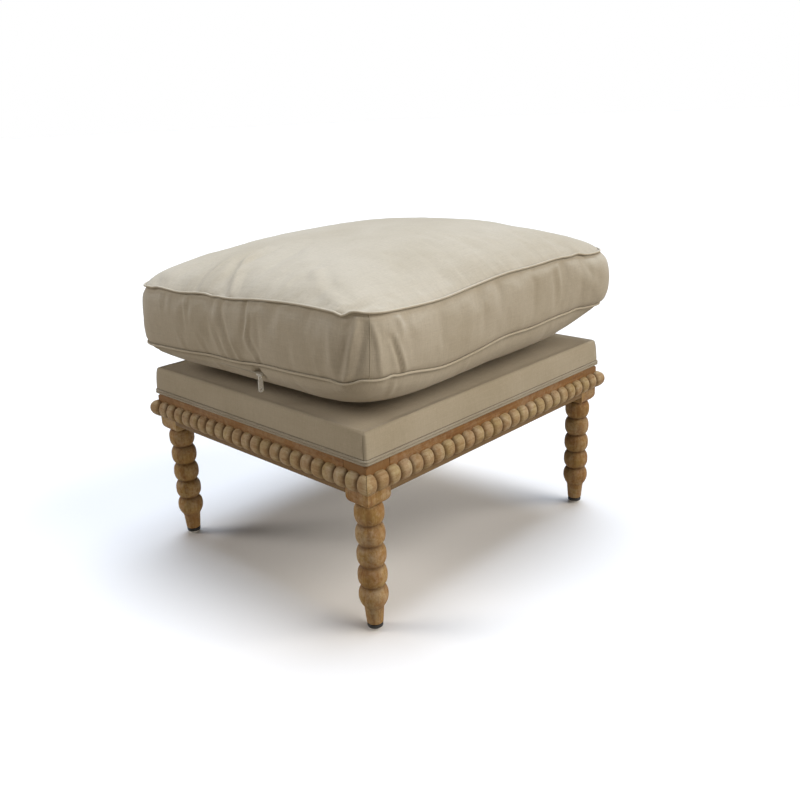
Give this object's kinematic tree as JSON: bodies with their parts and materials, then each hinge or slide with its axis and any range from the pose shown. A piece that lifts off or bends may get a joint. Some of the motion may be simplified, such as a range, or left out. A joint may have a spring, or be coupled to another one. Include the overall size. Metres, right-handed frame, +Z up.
{
  "type": "upholstered footstool",
  "caption": "Upholstered footstool with bobbin-turned legs, beaded apron rails, a padded deck with a double welt and a loose piped box cushion with a zip.",
  "frame": {"origin": "on the floor, under the middle of the stool", "axes": "+X along the longer rails, +Y from the front rail to the back rail, +Z up"},
  "size_m": [0.5952, 0.5292, 0.5153],
  "materials": {
    "limed_wood": "matte",
    "bead_wood": "matte",
    "rail_wood": "satin",
    "plain_wood": "matte",
    "linen": "matte",
    "lining": "matte",
    "foam": "matte",
    "zip_tape": "matte",
    "zip_metal": "satin",
    "steel": "satin",
    "glide_plastic": "matte"
  },
  "bodies": {
    "base": {"leg_front_left": "limed_wood", "glide_collar_front_left": "glide_plastic", "glide_button_front_left": "steel", "corner_block_front_left": "plain_wood", "block_screw_a_front_left": "steel", "block_screw_b_front_left": "steel", "leg_front_right": "limed_wood", "glide_collar_front_right": "glide_plastic", "glide_button_front_right": "steel", "corner_block_front_right": "plain_wood", "block_screw_a_front_right": "steel", "block_screw_b_front_right": "steel", "leg_back_right": "limed_wood", "glide_collar_back_right": "glide_plastic", "glide_button_back_right": "steel", "corner_block_back_right": "plain_wood", "block_screw_a_back_right": "steel", "block_screw_b_back_right": "steel", "leg_back_left": "limed_wood", "glide_collar_back_left": "glide_plastic", "glide_button_back_left": "steel", "corner_block_back_left": "plain_wood", "block_screw_a_back_left": "steel", "block_screw_b_back_left": "steel", "rail_front": "rail_wood", "bead_moulding_front": "bead_wood", "rail_right": "rail_wood", "bead_moulding_right": "bead_wood", "rail_back": "rail_wood", "bead_moulding_back": "bead_wood", "rail_left": "rail_wood", "bead_moulding_left": "bead_wood", "seat_board": "plain_wood", "dust_cover": "lining", "deck_foam": "foam", "deck_cover": "linen", "double_welt": "linen"},
    "cushion": {"cushion_cover": "linen", "cushion_insert": "foam", "piping_lower": "linen", "piping_upper": "linen", "zip_chain": "zip_tape"},
    "zip_slider": {"zip_slider": "zip_metal"},
    "zip_puller": {"zip_puller": "zip_metal"}
  },
  "joints": [
    {"name": "cushion_lift", "type": "slide", "parent": "base", "child": "cushion", "axis": [0, 0, 1], "range_m": [0, 0.15]},
    {"name": "zip_slide", "type": "slide", "parent": "cushion", "child": "zip_slider", "axis": [0, 1, 0], "range_m": [0, 0.238]},
    {"name": "puller_swing", "type": "hinge", "parent": "zip_slider", "child": "zip_puller", "pos_m": [-0.2832, -0.043, 0.3452], "axis": [1, 0, 0], "range_deg": [-75, 75]}
  ]
}
